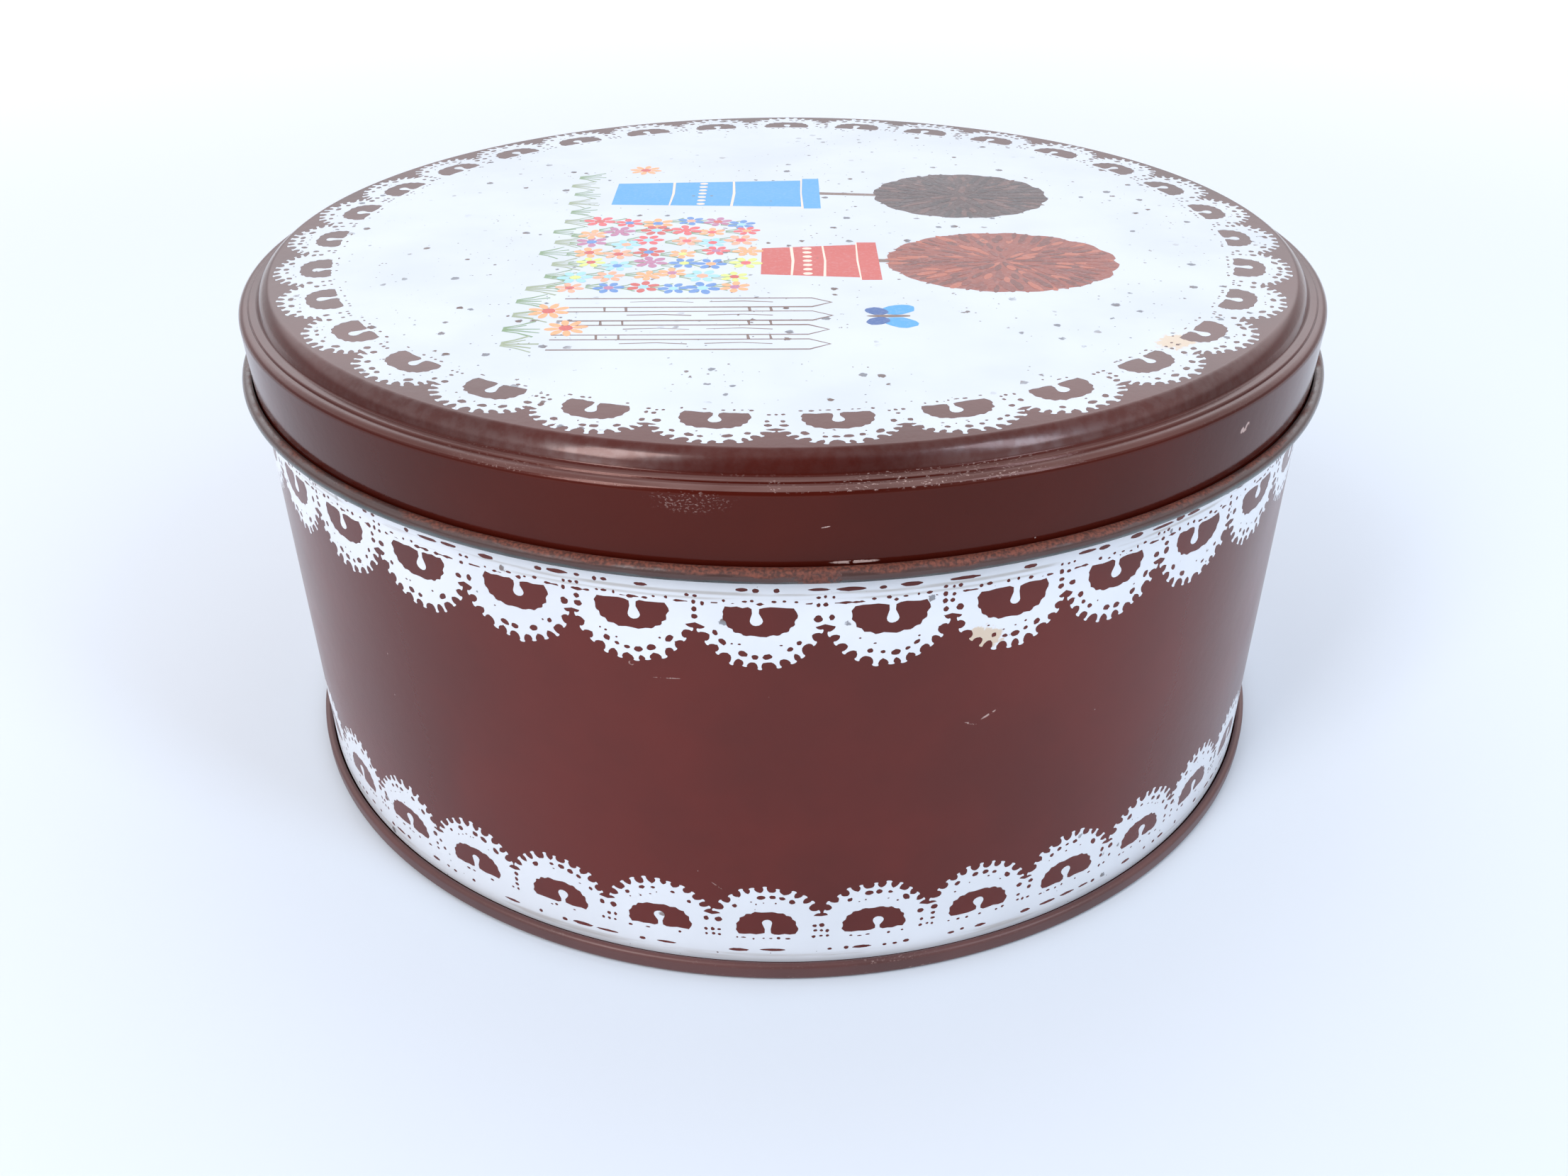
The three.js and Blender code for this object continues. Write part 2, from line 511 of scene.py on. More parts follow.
def lace_band(name, lace, eye_z, way, edge_z, material):
    """A lace border round the wall. way is -1 where its points hang down and 1 where they stand up."""
    edge_v = (edge_z - eye_z) * way
    steps = 360
    straight = [(lace.length * k / steps, edge_v) for k in range(steps)]
    loops = [ring_points(lace, WALL_R, out) for out in [lace.edge, straight] + lace.holes]
    steps = 330
    spare = []  # points between the outlines, so that the ink follows the wall's curve
    for row in range(8):
        shift = 0.5 * (row % 2)
        points = [(lace.length * (k + shift) / steps, edge_v * (1 - row / 5)) for k in range(steps)]
        spare += ring_points(lace, WALL_R, points)
    flat, faces = fill(loops, spare)

    def place(x, y, lift):
        z = eye_z + way * (math.hypot(x, y) - WALL_R)
        return at_azimuth(math.atan2(y, x) + lace.phase, WALL_R + lift - swage(z), z)

    points, made = ink_solid(flat, faces, place, -INK, INK)
    return finish_mesh(name, points, made, [material])


def lid_disc(name, lace, material):
    """The white disc printed on the lid, with its lace edge."""
    flat, faces = fill([ring_points(lace, LID_EYE_R, out) for out in [lace.edge] + lace.holes])

    def place(x, y, lift):
        return at_azimuth(math.atan2(y, x) + lace.phase, math.hypot(x, y), PANEL_TOP + lift)

    points, made = ink_solid(flat, faces, place, -INK, 0.5 * INK)
    return finish_mesh(name, points, made, [material])


# ---------------------------------------------------------------- the lid's picture

def srgb(red, green, blue):
    """A colour given as 0 to 255 on a screen, as the linear numbers that shaders use."""
    def linear(value):
        value /= 255
        return value / 12.92 if value <= 0.04045 else ((value + 0.055) / 1.055) ** 2.4
    return (linear(red), linear(green), linear(blue), 1)


RUSSETS = [srgb(140, 62, 44), srgb(108, 44, 32), srgb(170, 86, 60), srgb(124, 52, 38)]
UMBERS = [srgb(68, 40, 38), srgb(48, 28, 30), srgb(94, 60, 54), srgb(58, 34, 34)]
POT_RED = srgb(190, 66, 56)
POT_BAND = srgb(238, 206, 188)
POT_BLUE = srgb(40, 146, 202)
NAVY = srgb(24, 78, 144)
BARK = srgb(112, 84, 72)
OUTLINE = srgb(112, 82, 70)
LEAF = srgb(112, 140, 96)
SAGE = srgb(142, 152, 120)
BLOSSOMS = [
    srgb(214, 78, 84), srgb(232, 158, 124), srgb(74, 126, 190), srgb(206, 212, 112), srgb(176, 104, 140),
    srgb(236, 158, 104), srgb(150, 200, 226), srgb(196, 70, 62),
]


class Picture:
    """A plain garden print, in millimetres on the lid. Up in the picture is +X and right is -Y."""

    def __init__(self, seed):
        self.points = []
        self.faces = []
        self.colours = []
        self.draw = random.Random(seed)

    def shape(self, outline, colour, layer=1):
        """One filled outline. A higher layer lies on a lower one, and outlines that overlap need two."""
        flat, faces = fill([[(x * MM, y * MM) for x, y in outline]])
        top = (0.55 + 0.2 * layer) * INK
        points, made = ink_solid(flat, faces, on_lid, 0.2 * INK, top)
        first = len(self.points)
        self.points.extend(points)
        self.faces.extend([[c + first for c in face] for face in made])
        self.colours.extend([colour] * len(made))

    def line(self, path, width, colour, layer=2):
        """A pen line that swells and thins a little."""
        left = []
        right = []
        for i, here in enumerate(path):
            before = path[max(i - 1, 0)]
            after = path[min(i + 1, len(path) - 1)]
            along = Vector((after[0] - before[0], after[1] - before[1])).normalized()
            half = width / 2 * self.draw.uniform(0.6, 1.25)
            left.append((here[0] - along.y * half, here[1] + along.x * half))
            right.append((here[0] + along.y * half, here[1] - along.x * half))
        self.shape(left + right[::-1], colour, layer)

    def oval(self, x, y, half_x, half_y, colour, layer, turn=0.0, count=14):
        """A filled oval, not quite even."""
        self.shape(blob(x, y, half_x, half_y, self.draw, turn, count, 0.06), colour, layer)

    def shrub(self, x, y, half_x, half_y, colours):
        """A clipped round shrub: a lobed crown filled with rows of small leaves."""
        draw = self.draw
        edge = []
        for i in range(96):
            angle = math.tau * i / 96
            reach = 1 + 0.035 * abs(math.sin(8 * angle)) + draw.uniform(-0.01, 0.01)
            edge.append(on_oval(x, y, half_x * reach, half_y * reach, angle))
        self.shape(edge, colours[0], 1)
        rings = int(half_x / 2.1)
        for ring in range(1, rings):
            share = (ring + 0.7) / (rings + 0.4)
            leaves = int(4 + 5.3 * ring)
            for n in range(leaves):
                angle = math.tau * (n + draw.uniform(-0.1, 0.1)) / leaves
                turn = math.atan2(half_y * math.sin(angle), half_x * math.cos(angle))
                reach = share + draw.uniform(-0.02, 0.02)
                leaf_x, leaf_y = on_oval(x, y, half_x * reach, half_y * reach, angle)
                half_long = draw.uniform(1.5, 2.3)
                half_wide = draw.uniform(0.5, 0.8)
                colour = draw.choice(colours)
                self.oval(leaf_x, leaf_y, half_long, half_wide, colour, 2 + ring % 3, turn, 10)

    def pot(self, low, high, y, foot, mouth, colour):
        """A flower pot standing between two heights, with a rim, two bands and a row of dots."""
        rim = high - 3.2
        self.shape([(low, y + foot), (rim, y + mouth), (rim, y - mouth), (low, y - foot)], colour, 1)
        lip = mouth + 1.3
        self.shape([(rim - 0.5, y + lip), (high, y + lip), (high, y - lip), (rim - 0.5, y - lip)], colour, 2)
        self.line([(rim - 0.6, y + lip), (rim - 0.8, y), (rim - 0.6, y - lip)], 0.4, POT_BAND, 3)
        for share in (0.3, 0.62):
            at = low + (rim - low) * share
            half = foot + (mouth - foot) * share
            self.line([(at, y + half), (at + 0.3, y), (at, y - half)], 0.5, POT_BAND, 3)
        at = low + (rim - low) * 0.46
        half = foot + (mouth - foot) * 0.46
        for n in range(7):
            self.oval(at, y - half * 0.86 + half * 1.72 * n / 6, 0.9, 0.7, POT_BAND, 3)

    def blossom(self, x, y, reach, colour, middle, petals=6, layer=3.0):
        """A round flower with a middle of another colour."""
        turn = self.draw.uniform(0, math.tau)
        across = 0.66 * reach
        for n in range(petals):
            angle = turn + math.tau * n / petals
            petal_x, petal_y = on_oval(x, y, across, across, angle)
            self.oval(petal_x, petal_y, 0.36 * reach, 1.5 / petals * reach, colour, layer, angle, 12)
        self.oval(x, y, 0.32 * reach, 0.32 * reach, middle, layer + 0.25)

    def flower_bed(self, low_x, high_x, low_y, high_y, rows, columns):
        """Mixed blossoms and blades. Neighbours have layers of their own, since they may overlap."""
        draw = self.draw
        for r in range(rows):
            for c in range(columns):
                x = low_x + (high_x - low_x) * (r + 0.5 + draw.uniform(-0.22, 0.22)) / rows
                y = low_y + (high_y - low_y) * (c + 0.5 + draw.uniform(-0.25, 0.25)) / columns
                step = 0.5 * (r % 2 + 2 * (c % 2))
                self.tuft(x - 4.2, y + draw.uniform(-1, 1), 3, 3, 4.0, LEAF, 1 + step)
                reach = draw.uniform(2.6, 3.3)
                petals = draw.choice(BLOSSOMS)
                self.blossom(x, y, reach, petals, draw.choice(BLOSSOMS), 6, 3 + step)

    def tuft(self, x, y, blades, spread, length, colour, layer=1.0):
        """A few blades of grass growing from one point."""
        for n in range(blades):
            lean = (n / max(blades - 1, 1) - 0.5) * spread
            reach = length * self.draw.uniform(0.6, 1.1)
            path = [(x, y + lean * 0.3), (x + reach * 0.5, y + lean * 0.7), (x + reach, y + lean * 1.4)]
            self.line(path, 0.45, colour, layer + 0.15 * (n % 3))

    def fence(self, foot, head, high_y, boards, pitch):
        """Evenly spaced pointed boards in outline, on two rails."""
        half = pitch * 0.34
        for n in range(boards):
            y = high_y - pitch * (n + 0.5)
            left = y + half
            right = y - half
            tip = head + self.draw.uniform(-0.6, 0.6)
            neck = tip - 3.4
            self.line([(foot, left), (neck, left), (tip, y), (neck, right), (foot, right)], 0.5, OUTLINE)
            for share in (0.25, 0.55):
                x = foot + (head - foot) * share
                grain = [(x, y + half * 0.2), (x + 6, y + half * 0.35), (x + 11, y + half * 0.1)]
                self.line(grain, 0.3, OUTLINE)
        for n in range(boards - 1):
            y = high_y - pitch * (n + 1)
            for share in (0.16, 0.24, 0.7, 0.78):
                x = foot + (head - foot) * share
                self.line([(x, y + pitch * 0.14), (x + 0.2, y - pitch * 0.14)], 0.45, OUTLINE)

    def butterfly(self, x, y, reach):
        """Two wings a side, and a body."""
        for side in (-1, 1):
            out = side * reach
            self.oval(x + 0.35 * reach, y + 0.6 * out, 0.6 * reach, 0.45 * reach, POT_BLUE, 2, side * 0.5)
            self.oval(x - 0.4 * reach, y + 0.46 * out, 0.42 * reach, 0.34 * reach, NAVY, 3, side * -0.6)
        self.oval(x, y, 0.75 * reach, 0.11 * reach, BARK, 4)

    def garden(self, name, material):
        """Two shrubs in pots, a flower bed, a fence and a butterfly, as one piece."""
        self.line([(17, -18), (27, -18.5)], 2.2, BARK, 0.5)
        self.shrub(41, -18.5, 21, 16.5, RUSSETS)
        self.pot(-4, 18, -18, 7.5, 9.5, POT_RED)
        self.line([(6, 27), (24, 25)], 2.0, BARK, 0.5)
        self.shrub(38, 25, 18, 16, UMBERS)
        self.pot(-36, 8, 27, 8, 10, POT_BLUE)
        self.flower_bed(-40, -5, -35, 9, rows=6, columns=7)
        self.fence(foot=-38, head=8, high_y=-37, boards=4, pitch=6.4)
        self.butterfly(18, -47, 5)
        for x, y in ((-36, -52), (-31, 46), (-40, -44)):
            self.blossom(x, y, 3.6, BLOSSOMS[5], BLOSSOMS[7], 8)
        for n in range(16):
            x = -45 + self.draw.uniform(-2, 2)
            self.tuft(x, 40 - 6.6 * n, 5, 5, 6, (LEAF, SAGE)[n % 2], 1 + 0.5 * (n % 2))
        piece = finish_mesh(name, self.points, self.faces, [material])
        ink = piece.data.color_attributes.new("ink", "FLOAT_COLOR", "CORNER")
        corner_colours = []
        for face, colour in zip(self.faces, self.colours):
            corner_colours.extend(colour * len(face))
        ink.data.foreach_set("color", corner_colours)
        return piece


# ---------------------------------------------------------------- materials

SPECK_RAGGED = 0.3  # how uneven a speck's outline is, as a share of its width
SPECK_SOFT = 0.05  # how wide its soft edge is, in the same way


class Shader:
    """A node material, with one short call for each kind of node used here."""

    def __init__(self, name, **sockets):
        self.material = bpy.data.materials.new(name)
        self.material.use_nodes = True
        self.tree = self.material.node_tree
        self.surface = self.tree.nodes["Principled BSDF"]
        self.join(self.surface, **sockets)
        self.place = self.node("TexCoord").outputs["Object"]
        self.x, self.y, self.z = self.node("SeparateXYZ", (self.place,)).outputs
        self.azimuth = self.maths("ARCTAN2", self.x, self.times(self.y, -1.0))
        self.radius = self.length(self.x, self.y)

    def node(self, kind, values=(), **settings):
        made = self.tree.nodes.new("ShaderNode" + kind)
        for key, value in settings.items():
            setattr(made, key, value)
        for socket, value in zip(made.inputs, values):
            self.feed(socket, value)
        return made

    def feed(self, socket, value):
        """Sets a socket, or joins it to another node's output."""
        if isinstance(value, bpy.types.NodeSocket):
            self.tree.links.new(value, socket)
        else:
            socket.default_value = value

    def join(self, node, **sockets):
        """Feeds a node's sockets by name, with _ for a space, and returns its outputs."""
        for socket, value in sockets.items():
            self.feed(node.inputs[socket.replace("_", " ")], value)
        return node.outputs

    def maths(self, operation, a, b=0.0):
        return self.node("Math", (a, b), operation=operation).outputs[0]

    def plus(self, a, b):
        return self.maths("ADD", a, b)

    def minus(self, a, b):
        return self.maths("SUBTRACT", a, b)

    def over(self, a, b):
        return self.maths("DIVIDE", a, b)

    def times(self, product, *others):
        """All of several values multiplied together."""
        for other in others:
            product = self.maths("MULTIPLY", product, other)
        return product

    def length(self, a, b):
        """The square root of a squared plus b squared."""
        return self.maths("SQRT", self.plus(self.times(a, a), self.times(b, b)))

    def step(self, value, low, high):
        """0 at low and 1 at high, smooth between them. low may be the larger."""
        made = self.node("MapRange", (value, low, high, 0.0, 1.0), interpolation_type="SMOOTHSTEP")
        return made.outputs[0]

    def scale(self, value, low, high):
        """Turns 0 to 1 into low to high."""
        return self.node("MapRange", (value, 0.0, 1.0, low, high)).outputs[0]

    def most(self, *masks):
        """The strongest of several masks."""
        found = masks[0]
        for mask in masks[1:]:
            found = self.maths("MAXIMUM", found, mask)
        return found

    def mix(self, factor, a, b):
        made = self.node("Mix", data_type="RGBA")
        self.feed(made.inputs["Factor"], factor)
        self.feed(made.inputs[6], a)
        self.feed(made.inputs[7], b)
        return made.outputs[2]

    def stretched(self, axes):
        """The object's coordinates, each multiplied by a number of its own."""
        return self.node("VectorMath", (self.place, axes), operation="MULTIPLY").outputs[0]

    def noise(self, scale, detail=3.0, axes=(1, 1, 1)):
        """Noise from 0 to 1, with features 1/scale metres across."""
        place = self.stretched(axes)
        return self.join(self.node("TexNoise"), Vector=place, Scale=scale, Detail=detail, Roughness=0.55)[0]

    def round_noise(self, scale, along, up):
        """Noise stretched along the way round the tin and up it, for streaks that follow the wall."""
        round_tin = self.times(self.azimuth, WALL_R / along)
        flat = self.node("CombineXYZ", (round_tin, self.over(self.z, up), self.radius)).outputs[0]
        return self.join(self.node("TexNoise"), Vector=flat, Scale=scale, Detail=4.0, Roughness=0.5)[0]

    def specks(self, spacing, share, size, axes=(1, 1, 1)):
        """Small round spots: a share of the cells has one, up to size in diameter."""
        cells = self.join(self.node("TexVoronoi"), Vector=self.stretched(axes), Scale=1 / spacing)
        chance = self.node("SeparateColor", (cells["Color"],)).outputs
        wide = size / spacing
        near = self.minus(cells["Distance"], self.times(chance[1], wide / 2))
        near = self.plus(near, self.scale(self.noise(2.6 / size), -SPECK_RAGGED * wide, SPECK_RAGGED * wide))
        dot = self.step(near, SPECK_SOFT * wide, -SPECK_SOFT * wide)
        return self.times(dot, self.maths("LESS_THAN", chance[0], share))

    def wall_mark(self, azimuth, z, half_u, half_v, turn, rough):
        """A rough-edged spot on the wall or skirt, placed by degrees round and millimetres up."""
        u = self.times(self.minus(self.azimuth, math.radians(azimuth)), WALL_R / MM)
        return self.mark(u, self.minus(self.over(self.z, MM), z), half_u, half_v, turn, rough)

    def lid_mark(self, x, y, half_x, half_y, turn, rough):
        """A rough-edged spot on the lid's flat top, placed in millimetres."""
        u = self.minus(self.over(self.x, MM), x)
        return self.mark(u, self.minus(self.over(self.y, MM), y), half_x, half_y, turn, rough)

    def mark(self, u, v, half_u, half_v, turn, rough):
        """A rough-edged spot round the place where u and v are 0."""
        cosine = math.cos(turn)
        sine = math.sin(turn)
        along = self.plus(self.times(u, cosine / half_u), self.times(v, sine / half_u))
        across = self.minus(self.times(v, cosine / half_v), self.times(u, sine / half_v))
        away = self.plus(self.length(along, across), self.scale(self.noise(900, 4), -rough, rough))
        return self.step(away, 1.0, 0.7)

    def front(self, wide, narrow, middle=0.0):
        """1 within narrow degrees of the front, fading to 0 at wide degrees."""
        turned = self.minus(self.azimuth, math.radians(middle))
        return self.step(self.maths("ABSOLUTE", turned), math.radians(wide), math.radians(narrow))

    def band(self, z, half, core):
        """1 within core of a height, fading to 0 at half."""
        return self.step(self.maths("ABSOLUTE", self.minus(self.z, z)), half, core)

    def finish(self, colour, roughness, bump, depth, metal=0.0):
        """Joins the surface's inputs. depth is the bump's height in metres."""
        normal = self.join(self.node("Bump"), Strength=1.0, Distance=depth, Height=bump)["Normal"]
        self.join(self.surface, Base_Color=colour, Roughness=roughness, Metallic=metal, Normal=normal)
        return self.material


LID_BROWNS = (srgb(72, 18, 10), srgb(61, 15, 8))
LID_TINT = (1.0, 0.62, 0.55, 1)  # the lacquer's gloss is warm where it is seen square on
WALL_BROWNS = (srgb(95, 25, 18), srgb(82, 21, 15))
WALL_TINT = (1.0, 0.82, 0.77, 1)
END_BROWNS = (srgb(96, 60, 58), srgb(80, 50, 48))
DUST = srgb(190, 170, 166)
# pale chips, and also the colour of the painted highlight bands on the lid's ledge and corner
CHIP_AND_HIGHLIGHT = srgb(204, 176, 168)
RUST = srgb(124, 66, 50)
RUST_DARK = srgb(74, 40, 32)
# dark brown on the curl's upper part: partly rust, partly a painted reflection of the brown skirt
FILM_AND_SKIRT_REFLECTION = srgb(72, 38, 32)
TINS = (srgb(186, 189, 187), srgb(160, 163, 161))
CURL_TINS = (srgb(108, 113, 112), srgb(81, 87, 86))
WALL_WHITES = (srgb(231, 233, 238), srgb(222, 224, 229))
LID_WHITES = (srgb(200, 205, 212), srgb(193, 198, 205))
STAIN = srgb(206, 168, 112)
SPOT = srgb(104, 76, 64)
SPOT_GREY = srgb(124, 124, 130)
GRIME = srgb(168, 158, 148)


def spangle(s, tins):
    """The crystals of a tin coating, faintly lighter and darker: (pattern, colour)."""
    pattern = s.noise(150, 4)
    return pattern, s.mix(s.step(pattern, 0.3, 0.75), *tins)


def lacquer(name, browns, gloss, index, tint, marks, bare=None, polish=None):
    """Brown lacquer over tinplate: faint mottling, rubbed specks, hairlines and an even orange peel.

    marks are (mask, its numbers) of places of wear and of painted highlight. bare makes the mask of
    unlacquered metal, and polish that of extra gloss.
    """
    s = Shader(name, IOR=index, Coat_Roughness=0.28, Specular_Tint=tint)
    colour = s.mix(s.step(s.noise(22, 4), 0.35, 0.68), *browns)
    hairline = s.times(s.step(s.round_noise(60, 9, 1), 0.70, 0.74), s.step(s.noise(30, 2), 0.5, 0.6))
    dust = s.times(s.specks(2.4 * MM, 0.10, 0.30 * MM), s.step(s.noise(40, 2), 0.45, 0.6))
    pale = s.times(s.most(dust, s.times(hairline, 0.25)), 0.7)
    colour = s.mix(pale, colour, DUST)
    wear_and_highlight = s.most(*[mask(s, *numbers) for mask, *numbers in marks])
    # real wear and painted highlight are both mixed in here
    colour = s.mix(wear_and_highlight, colour, CHIP_AND_HIGHLIGHT)
    rough = s.plus(s.scale(s.noise(55, 4), gloss - 0.06, gloss + 0.08), s.times(s.most(pale, wear_and_highlight), 0.3))
    metal = 0.0
    if bare:
        metal = bare(s)
        colour = s.mix(metal, colour, spangle(s, TINS)[1])
    if polish:
        s.join(s.surface, Coat_Weight=polish(s))
    peel = s.plus(s.noise(420, 2), s.times(s.noise(1500, 2), 0.35))
    return s.finish(colour, rough, s.minus(peel, s.times(wear_and_highlight, 1.5)), 0.018 * MM, metal)


def white_print(name, whites, marks, speck_share, axes):
    """White enamel ink: faintly uneven, with rust specks, rubbed grey scuffs and a few stains."""
    s = Shader(name, IOR=1.45)
    colour = s.mix(s.step(s.noise(30, 4), 0.35, 0.7), *whites)
    for tone, mask, *numbers in marks:
        colour = s.mix(mask(s, *numbers), colour, tone)
    clustered = s.step(s.noise(34, 2), 0.38, 0.5)
    spots = s.times(s.specks(3.0 * MM, speck_share, 1.6 * MM, axes), clustered)
    fine = s.times(s.specks(1.3 * MM, speck_share, 0.42 * MM, axes), clustered)
    spotted = s.most(spots, fine)
    tone = s.mix(s.step(s.noise(300, 2), 0.4, 0.6), SPOT, SPOT_GREY)
    colour = s.mix(s.times(spotted, 0.9), colour, tone)
    rough = s.plus(s.scale(s.noise(60, 4), 0.28, 0.42), s.times(spotted, 0.3))
    return s.finish(colour, rough, s.minus(s.noise(700, 2), s.times(spotted, 1.2)), 0.012 * MM)


def picture_ink(name):
    """Printed colours, read from the drawing's own faces, with a slightly mottled litho grain."""
    s = Shader(name, IOR=1.4)
    ink = s.node("VertexColor", layer_name="ink").outputs["Color"]
    colour = s.mix(s.times(s.step(s.noise(1700), 0.45, 0.75), 0.1), ink, LID_WHITES[0])
    colour = s.mix(s.times(s.specks(3.2 * MM, 0.3, 0.8 * MM), 0.7), colour, SPOT)
    return s.finish(colour, s.scale(s.noise(60, 4), 0.28, 0.42), s.noise(900, 2), 0.01 * MM)


def tinplate(name, tins, smooth, rust=None):
    """Bare tinplate with rolling lines and spangle. rust makes the masks of its rust and of a dark brown
    layer that is partly rust and partly a painted reflection of the skirt.
    """
    s = Shader(name, IOR=1.5)
    pattern, colour = spangle(s, tins)
    rolled = s.noise(1400, 2, (1, 0.02, 1))
    rough = s.plus(s.scale(pattern, smooth, smooth + 0.14), s.times(rolled, 0.06))
    metal = 1.0
    height = rolled
    if rust:
        eaten, film_and_reflection = rust(s)
        colour = s.mix(s.times(film_and_reflection, 0.85), colour, FILM_AND_SKIRT_REFLECTION)
        colour = s.mix(eaten, colour, s.mix(s.step(s.noise(2000, 4), 0.35, 0.65), RUST, RUST_DARK))
        metal = s.scale(s.most(eaten, s.times(film_and_reflection, 0.9)), 1.0, 0.0)
        rough = s.plus(rough, s.times(eaten, 0.45))
        height = s.plus(rolled, s.times(eaten, s.noise(1600, 4), 4.0))
    return s.finish(colour, rough, height, 0.02 * MM, metal)


def curl_rust(s):
    """Rust along the crease above the lid's curl, heaviest at the front, and one patch right down it; and a
    dark brown layer over the curl's upper part, partly rust and partly a painted reflection of the skirt.
    """
    front = s.front(55, 0, middle=4)
    ragged = s.scale(s.round_noise(420, 2.5, 1), -0.9, 0.9)
    depth = s.plus(s.scale(front, 0.0, 0.75), ragged)
    level = s.over(s.minus(CURL_BOTTOM + CURL_DIAMETER, s.z), MM)
    crease = s.step(s.minus(depth, level), -0.2, 0.3)
    outside = s.step(s.radius, WALL_R + 0.9 * MM, WALL_R + 1.2 * MM)
    patch = s.wall_mark(2.6, (CURL_BOTTOM + CURL_DIAMETER / 2) / MM, 3.6, 2.2, 0, 0.8)
    patch = s.times(patch, s.step(s.noise(1100), 0.3, 0.5), 0.85)
    reach = s.plus(s.scale(front, 0.95, 1.7), s.times(ragged, 0.6))
    # painted reflection: the curl's upper part is painted dark brown, partly rust and partly the skirt's
    # reflection
    film_and_reflection = s.times(s.step(s.minus(level, reach), 0.25, -0.25), outside)
    return s.times(s.most(crease, patch), outside), film_and_reflection


def above_print(s):
    """The unprinted metal at the top of the wall."""
    return s.step(s.z, PRINT_TOP - 0.15 * MM, PRINT_TOP + 0.15 * MM)


def inside_seam(s):
    """The plain metal of the bottom end, inside its seam."""
    return s.step(s.radius, WALL_R - 0.1 * MM, WALL_R - 0.4 * MM)


def shoulder_polish(s):
    """The slope between the lid's flat top and its ledge, rubbed glossy at the front."""
    outer = s.step(s.radius, PANEL_R - 0.2 * MM, PANEL_R + 0.8 * MM)
    above = s.step(s.z, LEDGE_TOP, LEDGE_TOP + 0.5 * MM)
    uneven = s.scale(s.step(s.noise(500, 4), 0.35, 0.65), 0.45, 0.9)
    return s.times(outer, above, uneven, s.front(60, 28))


# Masks of wear, and of painted highlight. Places are in degrees round and millimetres up, and sizes in
# millimetres.

def scratch(s, azimuth, z, long, wide, turn, strength):
    """A thin broken scratch on the wall or skirt."""
    line = s.wall_mark(azimuth, z, long, wide, turn, 0.35)
    return s.times(line, s.step(s.noise(1300), 0.42, 0.56), strength)


def scuffs(s, azimuth, z, half_u, half_v, strength):
    """A patch of tiny rubbed specks."""
    bits = s.step(s.round_noise(3400, 1.5, 1), 0.54, 0.68)
    return s.times(s.wall_mark(azimuth, z, half_u, half_v, 0, 0.6), bits, strength)


def rubbed_edge(s, z, half, strength):
    """Fine pale rubbing along an edge that runs right round, strongest at the front."""
    bits = s.step(s.round_noise(3400, 1.8, 1), 0.56, 0.7)
    patchy = s.times(s.step(s.noise(45), 0.42, 0.62), s.scale(s.front(34, 8), 0.12, 1.0))
    return s.times(s.band(z * MM, half * MM, 0.3 * half * MM), bits, patchy, strength)


def painted_highlight_band(s, low, high, strength):
    """A thin even pale band between two heights, strongest at the front: a painted highlight on the lid's
    ledge and corner.
    """
    above = s.step(s.z, (low - 0.1) * MM, low * MM)
    below = s.step(s.z, (high + 0.1) * MM, high * MM)
    outer = s.step(s.radius, LEDGE_R - 0.6 * MM, LEDGE_R)
    uneven = s.scale(s.step(s.round_noise(500, 6, 1), 0.3, 0.7), 0.6, 1.0)
    return s.times(above, below, outer, uneven, s.front(60, 4), strength)


def rubbed_line(s, z, half, strength):
    """Grime rubbed into the white along a line round the wall."""
    streaks = s.step(s.round_noise(700, 12, 1), 0.44, 0.62)
    return s.times(s.band(z * MM, half * MM, 0.2 * half * MM), streaks, strength)


def stain(s, shape, *numbers):
    """A brown stain. shape is wall_mark or lid_mark, and the numbers are what that takes."""
    return s.times(shape(s, *numbers), 0.6)


CORNER = CORNER_TOP / MM
LEDGE = LEDGE_TOP / MM
SEAM_TOP = SEAM_HEIGHT / MM
SKIRT_MARKS = [
    (scratch, 5.6, 82.8, 3.8, 0.28, 0.0, 0.8),
    (scratch, 44, 89.8, 1.4, 0.8, 0.4, 0.75),
    (scratch, 3.2, 88.6, 0.7, 0.12, 0.2, 0.7),
    (scuffs, -7, 92.3, 6.5, 1.8, 0.28),
    (rubbed_edge, CORNER - 0.25, 0.5, 0.75),
    (rubbed_edge, LEDGE - 0.1, 0.4, 0.5),
    # painted highlight: pale bands on the ledge top and the corner top, strongest at the front
    (painted_highlight_band, CORNER - 0.4, CORNER - 0.04, 0.18),
    (painted_highlight_band, LEDGE - 0.1, LEDGE + 0.06, 0.16),
]
WALL_MARKS = [
    (scratch, 18.2, 51.9, 1.9, 0.22, 0.45, 0.75),
    (scratch, 16.4, 50.8, 1.2, 0.2, -0.35, 0.7),
    (scratch, -9.9, 61.6, 2.3, 0.12, 0.05, 0.5),
    (scratch, -6.3, 19.9, 1.4, 0.12, -0.7, 0.4),
    (scratch, -12.9, 63.7, 0.5, 0.45, 0, 0.5),
]
END_MARKS = [(rubbed_edge, SEAM_TOP - 0.2, 0.5, 0.35), (rubbed_edge, 0.6, 0.8, 0.4)]
LACE_MARKS = [
    (STAIN, stain, Shader.wall_mark, 16.6, 66.5, 3.8, 2.6, 0, 0.8),
    (GRIME, rubbed_line, 77.2, 0.45, 0.6),
    (GRIME, rubbed_line, 76.2, 0.3, 0.45),
    (GRIME, rubbed_line, SEAM_TOP + 0.8, 0.8, 0.5),
]
LID_MARKS = [(STAIN, stain, Shader.lid_mark, 63.5, -58.9, 4.5, 3.0, 0.7, 0.8)]


# ---------------------------------------------------------------- the tin

def dress(piece, body, slot, *nodes):
    """Joins a finished piece to its body and hides the CAD nodes that it stands for. slot, its finish, is not
    used.
    """
    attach(piece, body)
    if nodes:
        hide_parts(*nodes)


